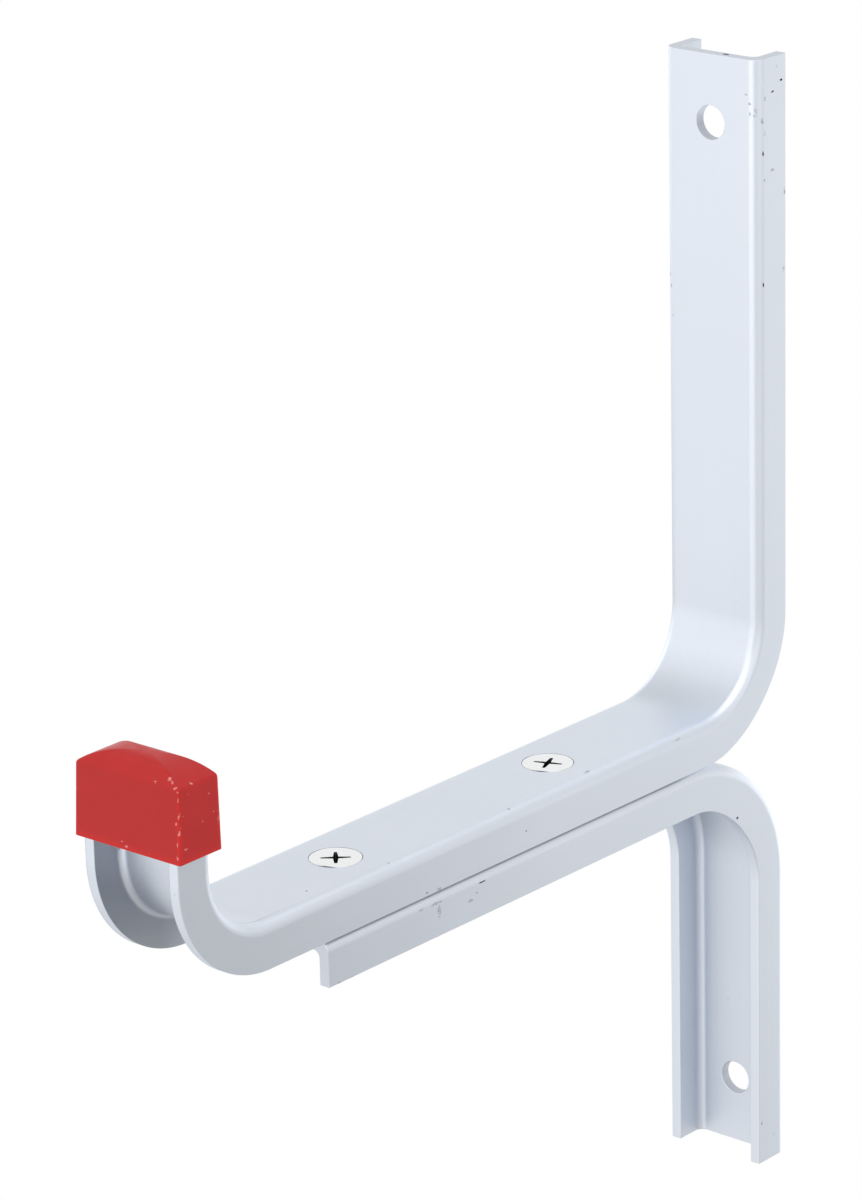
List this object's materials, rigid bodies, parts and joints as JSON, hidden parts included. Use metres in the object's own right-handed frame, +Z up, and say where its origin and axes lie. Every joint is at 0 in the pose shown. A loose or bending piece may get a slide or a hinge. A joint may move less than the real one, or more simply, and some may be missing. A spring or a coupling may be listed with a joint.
{
  "type": "ladder wall bracket",
  "caption": "Wall bracket with a hooked arm that a ladder hangs on, made of bent aluminium channels screwed together, with a push-on cap on the hook's tip.",
  "frame": {"origin": "on the wall, on the flat back of the lower leg, 60 mm under the joint between the channels, at the middle of the width", "axes": "+Z up the wall, +Y into the wall, so that the arm reaches out along -Y; +X across the width"},
  "size_m": [0.0284, 0.197, 0.2555],
  "materials": {
    "aluminium": "satin, clear anodised, with fine scuffs and small dark nicks along the edges",
    "zinc_steel": "bright zinc plate",
    "red_plastic": "moulded, semi-gloss, worn pale along its edges"
  },
  "bodies": {
    "bracket": {"upper_channel": "aluminium", "lower_channel": "aluminium", "front_screw": "zinc_steel", "front_flat_washer": "zinc_steel", "front_spring_washer": "zinc_steel", "front_nut": "zinc_steel", "rear_screw": "zinc_steel", "rear_flat_washer": "zinc_steel", "rear_spring_washer": "zinc_steel", "rear_nut": "zinc_steel"},
    "cap": {"end_cap": "red_plastic"}
  },
  "joints": [
    {"name": "cap_pull_off", "type": "slide", "parent": "bracket", "child": "cap", "axis": [0, 0, 1], "range_m": [0, 0.025]}
  ]
}
